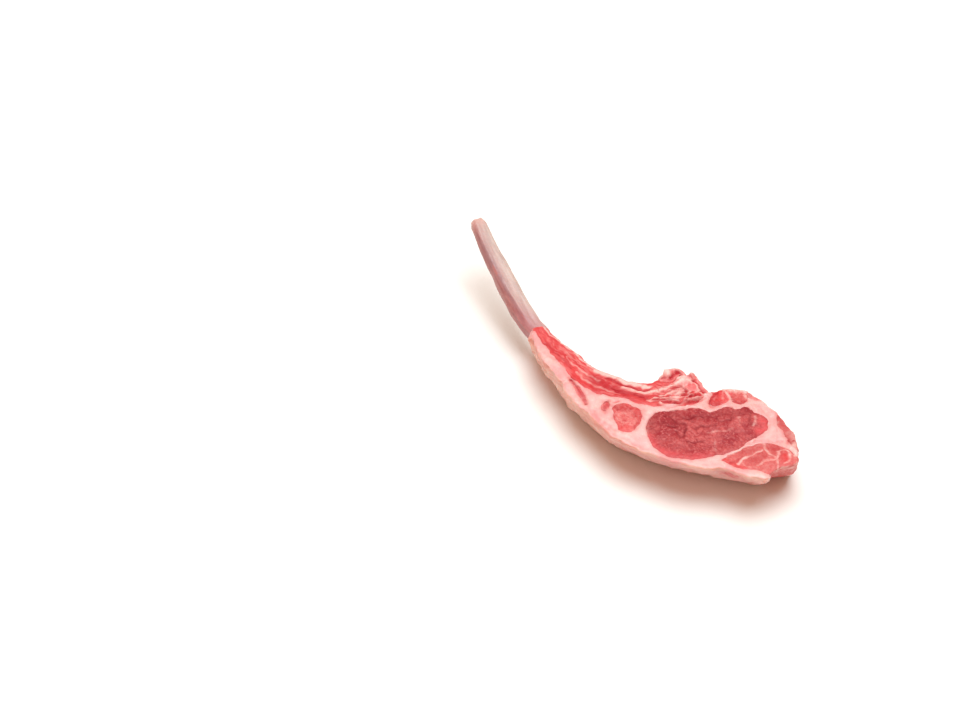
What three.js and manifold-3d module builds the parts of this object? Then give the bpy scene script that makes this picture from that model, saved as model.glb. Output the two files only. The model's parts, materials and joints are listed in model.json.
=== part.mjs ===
// A raw, frenched rib chop: one rib bone, scraped clean over its outer end, and the slice of
// meat that hangs on it. The slice is cut right through, so every muscle and the fat between
// them is a piece that runs from the upper cut face to the lower one.
//
// Millimetres, +Z up. X runs along the chop from the bare end of the bone (-X) to the back of
// the meat (+X), and the hollow side of the rib faces +Y. The chop lies on its lower cut face.

import * as THREE from "three";
import { mergeVertices } from "three/addons/utils/BufferGeometryUtils.js";
import Module from "manifold-3d";

const wasm = await Module();
wasm.setup();

// ---- Driving dimensions -------------------------------------------------------------------

const THICKNESS = 18; // between the two cut faces, at the eye of the meat
const TAIL_LIFT = 7.5; // how far the thin end of the meat clears the table
const LIFT_FROM_X = 16; // the lower face starts to rise here
const LIFT_FULL_X = -27; // and is fully raised here
const FACE_WAVE = 0.35; // the upper cut face is uneven by this much
const FACE_GRID = 5; // spacing of the points on the cut faces
const FACE_LOW = [-40, -35]; // the cut faces are laid out from this corner
const FACE_SIZE = [130, 70]; // over this length and width, past the meat on all sides

// The knife went in at a slant, so the lower face lies further back than the upper one.
const SLANT_BEARING = THREE.MathUtils.degToRad(135); // direction of the lean, from +X
const SLANT_BACK = 5; // lean of the wall on the hollow side, over the full thickness
const SLANT_FRONT = 11.5; // what the fat side leans on top of that
const SLANT_BLEND = 8; // softens the change from one side to the other

const RIM_ROUND = 1.4; // the upper edge of the fat side is rounded back by this much
const RIM_ROUND_HOLLOW = 0.5; // on the hollow side the edge is sharper
const FOOT_ROUND = 1.8; // the lower edge is rounded back by this much
const GAP = 0.3; // clear space between neighbouring pieces
const STEP = 2.6; // spacing of the points round the slice and the rib meat
const FINE_STEP = 1.7; // the same on the other muscles
const FEWEST_POINTS = 10; // round the smallest outline
const CROWDING = 0.88; // how near its own outline a moved point may come, as a share of the move
const CROWDING_STEP = 0.1; // a crowded point moves less by this share until it is clear
const FOOT_SHARE = 0.94; // a muscle narrows to this share of its width at the lower face

const COLOURS = {
  bone: 0xcdb0ac,
  fat: 0xf6cfc6,
  eye: 0xb7525a,
  lean: 0xdc6268,
  pale: 0xe9979a,
};

// ---- Outlines on the upper cut face -------------------------------------------------------

// Each outline is a smooth curve through these points, [x, y].
// The fat side, from the thin tail by the bone round to the back of the meat.
const FAT_SIDE = [
  [-29, -4], [-27.5, -8.5], [-21, -12.5], [-13, -16], [-6.5, -17.5], [4, -21.5],
  [12, -23], [28.5, -25], [39, -23], [50.5, -19], [64, -11.5], [73.5, -5.5],
  [77.5, -2], [76.5, 1.5], [79, 6],
];
// The hollow side, from there back over the small muscles and the knob to the tail.
const HOLLOW_SIDE = [
  [79.5, 11], [76, 15.5], [71, 19.5], [62, 23], [51, 25.5], [44, 24], [38.5, 18],
  [36.2, 15.4], [32.5, 16.5], [28, 18.2], [22, 17.2], [18.5, 13], [19.5, 6.5],
  [15.5, 2], [8.5, -1.4], [0, -3.9], [-9, -2.9], [-20, -2.4], [-26.8, -1.4],
];

// Each muscle that shows in the cut face. Those at the rim run out past it.
const MUSCLES = {
  eye_muscle: {
    colour: "eye",
    outline: [
      [33, -14], [30, -7.5], [34.5, 0.5], [39.5, 6.5], [43.5, 8.5], [46, 13.5],
      [48.5, 15], [51, 19], [54, 18], [57.5, 19.5], [61, 17.5], [62.5, 12.5],
      [61, 7], [61, 1], [57.5, -6.5], [51, -15.5], [45, -18.5], [38, -17.5],
    ],
  },
  back_muscle: {
    colour: "lean",
    outline: [
      [60.5, -7.5], [61.5, -1], [63, 4.5], [67, 11], [73.5, 13], [82.5, 10.5],
      [84, 6], [81, 1.5], [76, 0.5], [71, -2], [66, -6.5],
    ],
  },
  rim_muscle: {
    colour: "lean",
    outline: [[59.5, 22.5], [66.5, 19], [74.5, 15], [78, 17], [68, 25], [60.5, 26]],
  },
  upper_muscle_1: {
    colour: "lean",
    outline: [[40, 11], [38, 15.5], [35, 19], [40, 22], [44.5, 16], [42.5, 11]],
  },
  upper_muscle_2: {
    colour: "lean",
    outline: [[43.5, 18.5], [43.5, 22.5], [47.5, 22.5], [49, 19.5], [46.5, 17]],
  },
  upper_muscle_3: {
    colour: "pale",
    outline: [[46.5, 23.5], [46, 27], [52.5, 27.5], [51, 23.5]],
  },
  side_muscle: {
    colour: "lean",
    outline: [
      [17.5, -13], [20, -9.5], [26.5, -9], [29, -13], [30, -18], [27, -20.5], [22, -17.5],
    ],
  },
  side_muscle_tip: {
    colour: "pale",
    outline: [[15.5, -16.5], [14.5, -13.5], [16.5, -14], [17.5, -17]],
  },
  tail_streak: {
    colour: "pale",
    outline: [[-2.5, -14.3], [5, -16], [11, -19.3], [4, -17.6]],
  },
};

// The strip of meat between the ribs runs along the hollow side, and out past the rim there.
const RIB_MEAT = [
  [-29.5, -4.8], [-18.5, -9], [-7, -12.4], [2, -13.8], [11, -12.2], [18.5, -7.4],
  [24.5, -6], [32, 1], [36.5, 5.5], [37.4, 10], [36.6, 13.5], [34, 21], [22, 22],
  [11, 18], [9, 6], [0, 0], [-20, 3], [-33, 1],
];
// What is left of the backbone end: a round knob and a torn flap beside it.
const KNOB = [[14.5, 7], [20, 7], [24, 11], [23.5, 16], [24, 19], [18, 19], [14, 14]];
const FLAP = [[25, 9], [33, 12], [36, 14.5], [35.5, 19], [28, 21], [24.5, 18], [24.5, 13]];

// ---- The rib bone -------------------------------------------------------------------------

// Points along its middle: [x, y, z, width across the chop, height]. The first four are the
// bare end; the rest lie along the hollow side of the meat.
const BONE_LINE = [
  [-80.3, 17.8, 22.3, 5.8, 4.8],
  [-70.7, 13.2, 20.5, 6.6, 5.4],
  [-53.4, 5.9, 17, 7.6, 5.8],
  [-38.4, 0.3, 13.7, 7.9, 6.2],
  [-26.4, -2.6, 11.8, 6.6, 6.2],
  [-11.3, -3.6, 10.6, 6.2, 6.2],
  [1, -3.7, 9.8, 6.2, 6.4],
  [11, 0.8, 9.2, 6.2, 6.8],
  [18.2, 7.4, 9, 5.6, 6.4],
];
const BONE_SIDES = 12;
const BONE_RINGS = 34;
const BONE_SQUARENESS = 2.5; // 2 is an ellipse, more is boxier
const BONE_END_ROUND = 0.72; // the last ring at each end is this share of the width

// ---- Small helpers ------------------------------------------------------------------------

const { clamp, lerp, smoothstep } = THREE.MathUtils;
const lean = new THREE.Vector2(Math.cos(SLANT_BEARING), Math.sin(SLANT_BEARING));
const fatLine = FAT_SIDE.map(([x, y]) => new THREE.Vector2(x, y));
const hollowLine = HOLLOW_SIDE.map(([x, y]) => new THREE.Vector2(x, y));

// Height of the lower cut face.
function footZ(x) {
  return TAIL_LIFT * smoothstep(-x, -LIFT_FROM_X, -LIFT_FULL_X);
}

// Height of the upper cut face: level, with shallow unevenness.
function faceZ(x, y) {
  const wave = Math.sin(x / 7.3 + 0.8) * Math.cos(y / 6.1 - x / 19) + Math.sin((x + y) / 4.6);
  return THICKNESS + FACE_WAVE * wave;
}

// A smooth closed outline through the given points.
function smoothOutline(points, step) {
  const curve = new THREE.CatmullRomCurve3(
    points.map(([x, y]) => new THREE.Vector3(x, y, 0)),
    true,
    "centripetal",
  );
  const count = Math.max(FEWEST_POINTS, Math.round(curve.getLength() / step));
  return curve.getSpacedPoints(count).slice(0, count).map((p) => new THREE.Vector2(p.x, p.y));
}

function counterclockwise(outline) {
  return THREE.ShapeUtils.area(outline) > 0 ? outline : outline.slice().reverse();
}

// The outline moved outwards by a distance, or inwards if it is negative. In a tight corner a
// point moves less, so that the outline never crosses itself.
function grown(outline, distance) {
  const count = outline.length;
  const size = Math.abs(distance);
  return outline.map((point, i) => {
    const along = outline[(i + 1) % count].clone().sub(outline[(i + count - 1) % count]);
    const normal = new THREE.Vector2(along.y, -along.x).normalize();
    let share = 1;
    let moved = point.clone().addScaledVector(normal, distance);
    while (
      share > CROWDING_STEP &&
      distanceToLine(moved, outline, true) < CROWDING * size * share
    ) {
      share -= CROWDING_STEP;
      moved = point.clone().addScaledVector(normal, distance * share);
    }
    return moved;
  });
}

// How far a point is from a line through points, which may close on itself.
function distanceToLine(point, line, isClosed) {
  let best = Infinity;
  const pieces = isClosed ? line.length : line.length - 1;
  for (let i = 0; i < pieces; i++) {
    const start = line[i];
    const along = line[(i + 1) % line.length].clone().sub(start);
    const from = point.clone().sub(start);
    const share = clamp(from.dot(along) / along.lengthSq(), 0, 1);
    best = Math.min(best, from.distanceTo(along.multiplyScalar(share)));
  }
  return best;
}

// The triangles of the wall through a stack of rings that all have the same number of points.
function wallTriangles(levels, size) {
  const triangles = [];
  for (let level = 0; level + 1 < levels; level++) {
    for (let i = 0; i < size; i++) {
      const a = level * size + i;
      const b = level * size + ((i + 1) % size);
      triangles.push(a, b, b + size, a, b + size, a + size);
    }
  }
  return triangles;
}

// A closed solid through level rings, lowest first and counterclockwise from above.
function solidFromRings(rings) {
  const size = rings[0].length;
  const flat = rings[0].map((p) => new THREE.Vector2(p.x, p.y));
  const triangles = wallTriangles(rings.length, size);
  const top = (rings.length - 1) * size;
  for (const [a, b, c] of THREE.ShapeUtils.triangulateShape(flat, [])) {
    triangles.push(a, c, b, top + a, top + b, top + c);
  }
  return toManifold(rings.flat(), triangles);
}

function toManifold(points, triangles) {
  const numbers = points.flatMap((p) => [p.x, p.y, p.z]);
  return manifoldFromArrays(new Float32Array(numbers), new Uint32Array(triangles));
}

function manifoldFromArrays(vertProperties, triVerts) {
  return new wasm.Manifold(new wasm.Mesh({ numProp: 3, vertProperties, triVerts }));
}

function fromManifold(solid) {
  const mesh = solid.getMesh();
  const geometry = new THREE.BufferGeometry();
  geometry.setAttribute("position", new THREE.BufferAttribute(mesh.vertProperties, 3));
  geometry.setIndex(new THREE.BufferAttribute(mesh.triVerts, 1));
  return geometry;
}

// The largest of a solid's separate bodies: a cut can leave crumbs at a thin edge.
function largest(solid) {
  return solid.decompose().reduce((a, b) => (a.volume() > b.volume() ? a : b));
}

// ---- The slice of meat, before it is slanted ----------------------------------------------

// A slab between the two cut faces that reaches past the meat on all sides.
function slab() {
  const [columns, rows] = FACE_SIZE.map((size) => Math.round(size / FACE_GRID));
  const points = [];
  for (const height of [footZ, faceZ]) {
    for (let row = 0; row <= rows; row++) {
      for (let column = 0; column <= columns; column++) {
        const x = FACE_LOW[0] + column * FACE_GRID;
        const y = FACE_LOW[1] + row * FACE_GRID;
        points.push(new THREE.Vector3(x, y, height(x, y)));
      }
    }
  }
  const width = columns + 1;
  const layer = width * (rows + 1);
  const triangles = [];
  for (let row = 0; row < rows; row++) {
    for (let column = 0; column < columns; column++) {
      const a = row * width + column;
      const b = a + width;
      const [up, over] = [layer + a, layer + b];
      triangles.push(a, b + 1, a + 1, a, b, b + 1);
      triangles.push(up, up + 1, over + 1, up, over + 1, over);
    }
  }
  const rim = [];
  for (let i = 0; i < columns; i++) rim.push(i);
  for (let i = 0; i < rows; i++) rim.push(i * width + columns);
  for (let i = columns; i > 0; i--) rim.push(rows * width + i);
  for (let i = rows; i > 0; i--) rim.push(i * width);
  rim.forEach((a, i) => {
    const b = rim[(i + 1) % rim.length];
    triangles.push(a, b, layer + b, a, layer + b, layer + a);
  });
  return toManifold(points, triangles);
}

// How much a point belongs to the fat side (1) rather than to the hollow side (0).
function fatShare(x, y) {
  const point = new THREE.Vector2(x, y);
  const fromFat = distanceToLine(point, fatLine) + SLANT_BLEND;
  const fromHollow = distanceToLine(point, hollowLine) + SLANT_BLEND;
  return fromHollow / (fromFat + fromHollow);
}

// The whole slice: its outline, with both edges of the wall rounded.
function slice() {
  const outline = counterclockwise(smoothOutline([...FAT_SIDE, ...HOLLOW_SIDE], STEP));
  const inner = grown(outline, -FOOT_ROUND);
  // Up the wall: share of the height, and how far in it is as a share of each rounding.
  const profile = [
    [-0.4, 1, 0],
    [0, 1, 0],
    [0.09, 0.4, 0],
    [0.25, 0, 0],
    [0.6, 0, 0],
    [0.82, 0, 0.12],
    [0.94, 0, 0.45],
    [1, 0, 1],
    [1.4, 0, 1],
  ];
  const rings = profile.map(([share, foot, rim]) =>
    outline.map((point, i) => {
      const rimRound = lerp(RIM_ROUND_HOLLOW, RIM_ROUND, fatShare(point.x, point.y));
      const inset = foot + (rim * rimRound) / FOOT_ROUND;
      const { x, y } = point.clone().lerp(inner[i], inset);
      return new THREE.Vector3(x, y, lerp(footZ(x), faceZ(x, y), share));
    }),
  );
  return solidFromRings(rings).intersect(slab());
}

// A straight column through the slice, a little narrower at its foot.
function column(outline, growth) {
  const middle = outline.reduce((sum, p) => sum.add(p), new THREE.Vector2());
  middle.divideScalar(outline.length);
  const edge = grown(outline, growth);
  const level = (z, share) =>
    edge.map((p) => {
      const q = p.clone().sub(middle).multiplyScalar(share).add(middle);
      return new THREE.Vector3(q.x, q.y, z);
    });
  return solidFromRings([level(-THICKNESS, FOOT_SHARE), level(2 * THICKNESS, 1)]);
}

// ---- The slant ----------------------------------------------------------------------------

// Leans a finished piece: the upper face stays, the lower one moves back.
function slanted(solid) {
  const geometry = fromManifold(solid);
  const position = geometry.getAttribute("position");
  for (let i = 0; i < position.count; i++) {
    const [x, y, z] = [position.getX(i), position.getY(i), position.getZ(i)];
    const depth = (THICKNESS - z) / THICKNESS;
    const shift = depth * (SLANT_BACK + SLANT_FRONT * fatShare(x, y));
    position.setXY(i, x + lean.x * shift, y + lean.y * shift);
  }
  return manifoldFromArrays(position.array, geometry.index.array);
}

// ---- The bone -----------------------------------------------------------------------------

// The bone, or with a growth the channel that holds it.
function bone(growth) {
  const smoothLine = (points) => new THREE.CatmullRomCurve3(points, false, "centripetal");
  const middle = smoothLine(BONE_LINE.map(([x, y, z]) => new THREE.Vector3(x, y, z)));
  const size = smoothLine(BONE_LINE.map((row) => new THREE.Vector3(row[3], row[4], 0)));
  const up = new THREE.Vector3(0, 0, 1);
  const power = 2 / BONE_SQUARENESS;
  const rings = [];
  for (let ring = 0; ring <= BONE_RINGS; ring++) {
    const t = ring / BONE_RINGS;
    const along = middle.getTangent(t);
    const across = new THREE.Vector3().crossVectors(up, along).normalize();
    const upright = new THREE.Vector3().crossVectors(along, across).normalize();
    const isEnd = ring === 0 || ring === BONE_RINGS;
    const share = isEnd ? BONE_END_ROUND : 1;
    const centre = middle.getPoint(t);
    if (isEnd) centre.addScaledVector(along, ring === 0 ? -growth : growth);
    const { x: width, y: height } = size.getPoint(t);
    const points = [];
    for (let side = 0; side < BONE_SIDES; side++) {
      const angle = (side / BONE_SIDES) * Math.PI * 2;
      const boxy = (value) => Math.sign(value) * Math.abs(value) ** power;
      const wide = boxy(Math.cos(angle)) * ((width / 2) * share + growth);
      const high = boxy(Math.sin(angle)) * ((height / 2) * share + growth);
      points.push(centre.clone().addScaledVector(across, wide).addScaledVector(upright, high));
    }
    rings.push(points);
  }
  return tube(rings);
}

// A closed tube through rings that may face any way; each end is a fan.
function tube(rings) {
  const size = rings[0].length;
  const points = rings.flat();
  const triangles = wallTriangles(rings.length, size);
  for (const start of [0, (rings.length - 1) * size]) {
    const centre = new THREE.Vector3();
    for (let i = 0; i < size; i++) centre.addScaledVector(points[start + i], 1 / size);
    const hub = points.push(centre) - 1;
    for (let i = 0; i < size; i++) {
      const [a, b] = [start + i, start + ((i + 1) % size)];
      triangles.push(...(start === 0 ? [hub, b, a] : [hub, a, b]));
    }
  }
  return toManifold(points, triangles);
}

// ---- Cutting the slice into its pieces ----------------------------------------------------

// Every piece but the fat takes its own column of the slice, and the fat is what is left.
function cutPieces() {
  const whole = slice();
  const columns = [
    ...Object.entries(MUSCLES).map(([name, m]) => [name, m.outline, m.colour]),
    ["backbone_knob", KNOB, "pale"],
    ["backbone_flap", FLAP, "pale"],
    ["rib_meat", RIB_MEAT, "lean"],
  ];
  const pieces = [];
  let rest = whole;
  for (const [name, points, colour] of columns) {
    const step = name === "rib_meat" ? STEP : FINE_STEP;
    const outline = counterclockwise(smoothOutline(points, step));
    pieces.push({ name, colour, solid: rest.intersect(column(outline, 0)) });
    rest = rest.subtract(column(outline, GAP));
  }
  pieces.push({ name: "fat", colour: "fat", solid: rest });
  return pieces;
}

// ---- The chop -----------------------------------------------------------------------------

const boneChannel = bone(GAP);
const solids = cutPieces().map(({ name, colour, solid }) => ({
  name,
  colour,
  solid: largest(slanted(largest(solid)).subtract(boneChannel)),
}));
solids.push({ name: "rib_bone", colour: "bone", solid: bone(0) });

const chop = new THREE.Group();
for (const { name, colour, solid } of solids) {
  const material = new THREE.MeshStandardMaterial({
    color: COLOURS[colour],
    roughness: colour === "bone" ? 0.45 : 0.35,
    metalness: 0,
  });
  const mesh = new THREE.Mesh(mergeVertices(fromManifold(solid)), material);
  mesh.name = name;
  chop.add(mesh);
}

// The origin is on the table, under the middle of the chop.
const box = new THREE.Box3().setFromObject(chop);
const middle = box.getCenter(new THREE.Vector3());
chop.position.set(-middle.x, -middle.y, -box.min.z);

export default chop;
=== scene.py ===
# %% [markdown]
# # A raw rib chop
# A frenched rib chop lies on a pale table: a bare rib bone, and a slice of meat cut right
# through, so that lean muscles show as islands in pale fat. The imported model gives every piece
# at its real size. This notebook turns those plain solids into flesh: it gives each one a skin
# of small faces, presses the relief of a knife cut, of fibres and of torn seams into it, and
# then mixes a finish for fat, lean, bone and membrane out of noise.

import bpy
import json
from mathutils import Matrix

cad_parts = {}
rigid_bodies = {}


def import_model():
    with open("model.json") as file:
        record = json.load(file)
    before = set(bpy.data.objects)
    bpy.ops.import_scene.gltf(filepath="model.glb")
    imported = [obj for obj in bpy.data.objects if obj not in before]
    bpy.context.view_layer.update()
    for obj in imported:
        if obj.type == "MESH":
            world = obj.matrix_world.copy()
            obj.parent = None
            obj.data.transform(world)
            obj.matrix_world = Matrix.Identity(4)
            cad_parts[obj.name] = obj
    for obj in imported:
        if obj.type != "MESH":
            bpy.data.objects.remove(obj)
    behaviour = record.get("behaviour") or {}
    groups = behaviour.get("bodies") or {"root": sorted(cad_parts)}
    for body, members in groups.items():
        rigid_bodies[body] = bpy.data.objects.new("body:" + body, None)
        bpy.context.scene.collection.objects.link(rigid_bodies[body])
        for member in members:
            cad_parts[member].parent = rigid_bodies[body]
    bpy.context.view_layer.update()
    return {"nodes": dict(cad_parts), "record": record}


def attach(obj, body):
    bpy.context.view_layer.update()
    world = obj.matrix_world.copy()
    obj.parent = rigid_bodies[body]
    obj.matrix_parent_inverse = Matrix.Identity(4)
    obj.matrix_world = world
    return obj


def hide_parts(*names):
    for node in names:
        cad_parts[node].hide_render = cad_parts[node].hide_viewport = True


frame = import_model()
print("pieces in the frame:", sorted(frame["nodes"]))

# %% Tools from the standard library and from Blender
import itertools
import json
import math

import bpy
import numpy as np
from mathutils import Vector
from mathutils.kdtree import KDTree

MM = 0.001  # the frame is in metres, and meat is easier to think of in millimetres

# %% [markdown]
# ## Camera
# The chop is seen from half-way up (45 degrees), across its length, through a long lens, so it
# keeps nearly true proportions.

# %% Camera
VIEW_AZIMUTH = math.radians(44.9)  # the camera looks this far round from the chop's +Y
VIEW_ELEVATION = math.radians(45)
VIEW_DISTANCE = 776 * MM
AIM = Vector((-42.3, -20.0, 0)) * MM  # the spot on the table at the middle of the picture
LENS_MM = 80
SENSOR_MM = 36

view_direction = Vector(
    (
        -math.sin(VIEW_AZIMUTH) * math.cos(VIEW_ELEVATION),
        math.cos(VIEW_AZIMUTH) * math.cos(VIEW_ELEVATION),
        -math.sin(VIEW_ELEVATION),
    )
)
camera_data = bpy.data.cameras.new("camera")
camera_data.lens = LENS_MM
camera_data.sensor_width = SENSOR_MM
camera_data.clip_start = 10 * MM
camera = bpy.data.objects.new("camera", camera_data)
bpy.context.scene.collection.objects.link(camera)
camera.location = AIM - view_direction * VIEW_DISTANCE
camera.rotation_euler = view_direction.to_track_quat("-Z", "Y").to_euler()
bpy.context.scene.camera = camera
print("camera at", [round(x, 3) for x in camera.location])

# %% [markdown]
# ## Table and light
# Food is shot for a white page on a white sweep under a very large soft light. The light here
# is a sun with a wide disc, which is as even as a soft box bigger than the table. It is a little
# cool, and the world a little brown: where both reach, the table is white, and under the meat,
# where only the world gets in, the soft shadow turns brown.

# %% An operator works on all that is selected, so each step starts clean
def select_only(thing):
    for other in bpy.context.view_layer.objects:
        other.select_set(False)
    thing.select_set(True)
    bpy.context.view_layer.objects.active = thing


# %% Table
TABLE_SIZE = 6
select_only(camera)
camera.select_set(False)
bpy.ops.mesh.primitive_plane_add(size=TABLE_SIZE, location=(0, 0, 0))
table = bpy.context.object
table.name = "table"


# %% Light
def add_sun(name, direction, disc, strength, colour):
    """Soft even light that comes from a direction; disc is how wide it looks, in degrees."""
    data = bpy.data.lights.new(name, "SUN")
    data.energy = strength
    data.angle = math.radians(disc)
    data.color = colour
    lamp = bpy.data.objects.new(name, data)
    bpy.context.scene.collection.objects.link(lamp)
    lamp.rotation_euler = (-Vector(direction)).to_track_quat("-Z", "Y").to_euler()


COOL_WHITE = (0.88, 0.97, 1.0)
WARM_BROWN = (1.0, 0.66, 0.44)
add_sun("soft_box", direction=(-0.05, 0.115, 1.0), disc=46, strength=3.3, colour=COOL_WHITE)

world = bpy.data.worlds.new("studio")
bpy.context.scene.world = world
world.use_nodes = True
background = world.node_tree.nodes["Background"]
background.inputs["Color"].default_value = (*WARM_BROWN, 1)
background.inputs["Strength"].default_value = 0.56
bpy.context.scene.view_settings.view_transform = "Standard"

# %% [markdown]
# ## Noise for the hand
# Flesh is never flat, and a shape that is pushed about by smooth noise looks grown rather than
# machined. Displace modifiers could do this, but the relief here has to follow the rib, stop at
# the edge of a muscle and line up with the colour, so it is worked out on the points themselves.
# This is gradient noise: each corner of a grid gets a random slope, and a point blends the
# slopes of the eight corners round it.

# %% Smooth noise on many points at once
def noise(points, size, seed):
    """Smooth noise from about -1 to 1 at points in mm; its bumps are size mm apart."""
    rng = np.random.default_rng(seed)
    shuffled = rng.permutation(256)
    slopes = rng.normal(size=(256, 3))
    slopes /= np.linalg.norm(slopes, axis=1, keepdims=True)
    scaled = points / size
    cell = np.floor(scaled).astype(int)
    inside = scaled - cell
    blend = inside**3 * (inside * (inside * 6 - 15) + 10)
    total = np.zeros(len(points))
    for corner in itertools.product((0, 1), repeat=3):
        corner = np.array(corner)
        index = shuffled[(cell[:, 0] + corner[0]) % 256]
        index = shuffled[(index + cell[:, 1] + corner[1]) % 256]
        index = shuffled[(index + cell[:, 2] + corner[2]) % 256]
        weight = np.prod(np.where(corner, blend, 1 - blend), axis=1)
        total += weight * np.sum(slopes[index] * (inside - corner), axis=1)
    return total * 1.7


def rough_noise(points, size, seed, octaves=3):
    """The same with finer and weaker noise on top, as on a torn surface."""
    layers = [noise(points, size / 2**k, seed + k) / 2**k for k in range(octaves)]
    return sum(layers) / sum(1 / 2**k for k in range(octaves))


def ramp(values, low, high):
    """0 up to low, 1 from high on, and smooth between them."""
    t = np.clip((values - low) / (high - low), 0, 1)
    return t * t * (3 - 2 * t)


probe = noise(np.random.default_rng(1).uniform(0, 50, (4000, 3)), 5, 7)
print("noise runs from", round(probe.min(), 2), "to", round(probe.max(), 2))

# %% [markdown]
# ## Reading and moving points
# Every skin below is shaped the same way: its places and normals are read into arrays, a lift in
# mm is worked out for each point, and the points are moved along their normals. All pieces also
# share one gentle sway, which depends on nothing but the place, so that a boundary between two
# muscles wanders without opening a gap. Near the upper face a few pulls bend the edge to
# this chop's own shape.

# %% Points in and out
def points_of(piece):
    """Places in mm, as an array with one row for each point."""
    flat = np.zeros(len(piece.data.vertices) * 3, np.float32)
    piece.data.vertices.foreach_get("co", flat)
    return flat.reshape(-1, 3).astype(float) / MM


def normals_of(piece):
    flat = np.zeros(len(piece.data.vertices) * 3, np.float32)
    piece.data.vertices.foreach_get("normal", flat)
    return flat.reshape(-1, 3).astype(float)


def set_points(piece, points):
    points[:, 2] = np.maximum(points[:, 2], 0.0)  # the table holds everything up
    piece.data.vertices.foreach_set("co", (points * MM).astype(np.float32).ravel())
    piece.data.update()


PULLS = [
    # (place on the cut, reach, pull), all in mm
    ((25.6, 14.0), 1.6, (1.9, -2.0)),  # the dip between the pale ball and the peak
    ((64.0, -12.0), 4.0, (-0.9, 1.7)),  # the knife went in here
    ((75.0, -4.5), 3.0, (0.9, 0.0)),  # and left a tongue of fat
    ((80.5, 2.0), 4.0, (-1.1, 0.5)),  # the end of the muscle at the back
    ((69.0, 18.5), 5.0, (0.8, 0.9)),  # the far rim stands out in two bumps
    ((60.0, 22.0), 3.0, (0.2, 0.8)),
    ((41.0, 15.5), 3.0, (-0.5, 0.7)),
    ((57.5, -4.5), 1.7, (1.0, -0.6)),  # only a thin septum parts the two big muscles
    ((60.7, 0.5), 1.7, (1.0, -0.6)),
    ((14.0, -4.5), 6.0, (0.3, -0.8)),  # the strip is narrowest by the ball
    ((19.5, 0.0), 2.6, (0.5, -0.6)),
    ((65.0, 17.0), 2.2, (-0.9, -1.0)),  # the muscle in the far rim widens towards the back
    ((68.5, 15.0), 2.2, (-1.0, -1.0)),
]


PULL_HEIGHTS = (6, 15)  # mm, the pulls fade in between these heights


def sway(points):
    """Moves points level: by smooth noise that all pieces share, and by the pulls."""
    moved = points.copy()
    for axis, seed in enumerate((51, 56)):
        moved[:, axis] += 0.55 * noise(points, 4.2, seed) + 0.28 * noise(points, 1.7, seed + 2)
    high = ramp(points[:, 2], *PULL_HEIGHTS)
    for place, reach, pull in PULLS:
        near = high * np.exp(-((points[:, :2] - place) ** 2).sum(axis=1) / reach**2)
        moved[:, :2] += near[:, None] * pull
    return moved


def write_attributes(piece, **fields):
    """Stores a number, or a vector, on every point for the finish to read."""
    for name, values in fields.items():
        kind, key = ("FLOAT", "value") if values.ndim == 1 else ("FLOAT_VECTOR", "vector")
        layer = piece.data.attributes.new(name, kind, "POINT")
        layer.data.foreach_set(key, values.astype(np.float32).ravel())


def nearest_of(points, targets):
    """For each point, the nearest of the targets and how far off it is."""
    tree = KDTree(len(targets))
    for index, target in enumerate(targets):
        tree.insert(target, index)
    tree.balance()
    found = [tree.find(point) for point in points]
    return np.array([place for place, _, _ in found]), np.array([distance for _, _, distance in found])


def distance_to(points, targets):
    return nearest_of(points, targets)[1]


def even_out(piece, values, rounds):
    """Averages the rows of values with those of the neighbouring points."""
    ends = np.zeros(len(piece.data.edges) * 2, np.int32)
    piece.data.edges.foreach_get("vertices", ends)
    count = 1 + np.bincount(ends, minlength=len(values))[:, None]
    first, second = ends.reshape(-1, 2).T
    for _ in range(rounds):
        total = values.copy()
        np.add.at(total, first, values[second])
        np.add.at(total, second, values[first])
        values = total / count
    return values


# %% [markdown]
# ## A skin of small faces
# The frame's solids have large faces and sharp edges, as a knife leaves them, but their points
# are too far apart to carry relief. A copy of each is merged (its faces come loose), and the
# Remesh modifier in voxel mode wraps it in an even net of small squares. A short Smooth takes
# the stair steps off.

# %% A fine copy of a piece
VOXEL = 0.42  # mm, the size of the small squares


def loose_copy(node):
    """A merged copy of a frame piece, as an object of its own."""
    piece = bpy.data.objects.new(node + "_copy", frame["nodes"][node].data.copy())
    bpy.context.scene.collection.objects.link(piece)
    select_only(piece)
    bpy.ops.object.mode_set(mode="EDIT")
    bpy.ops.mesh.select_all(action="SELECT")
    bpy.ops.mesh.remove_doubles(threshold=0.001 * MM)
    bpy.ops.object.mode_set(mode="OBJECT")
    return piece


def apply_modifier(piece, kind, **settings):
    modifier = piece.modifiers.new(kind.lower(), kind)
    for name, value in settings.items():
        setattr(modifier, name, value)
    select_only(piece)
    bpy.ops.object.modifier_apply(modifier=modifier.name)


def fine_skin(piece, name, voxel=VOXEL, smoothing=3):
    """Wraps a piece in small squares and names it."""
    apply_modifier(piece, "REMESH", mode="VOXEL", voxel_size=voxel * MM)
    apply_modifier(piece, "SMOOTH", factor=0.5, iterations=smoothing)
    piece.name = name
    piece.data.name = name
    piece.data.materials.clear()
    bpy.ops.object.shade_smooth()
    print(name, len(piece.data.polygons), "faces")
    return piece


# %% [markdown]
# ## Where a point is in the chop
# The strip of rib meat is measured along the rib and across it, because its fibres and seams
# follow the rib. A point below the upper face is given a place on that face by one fixed shift
# that grows with its depth. The shift does not follow the lean of the walls, so a mark on the
# lower face can lie on another piece than the same mark does above.

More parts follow.
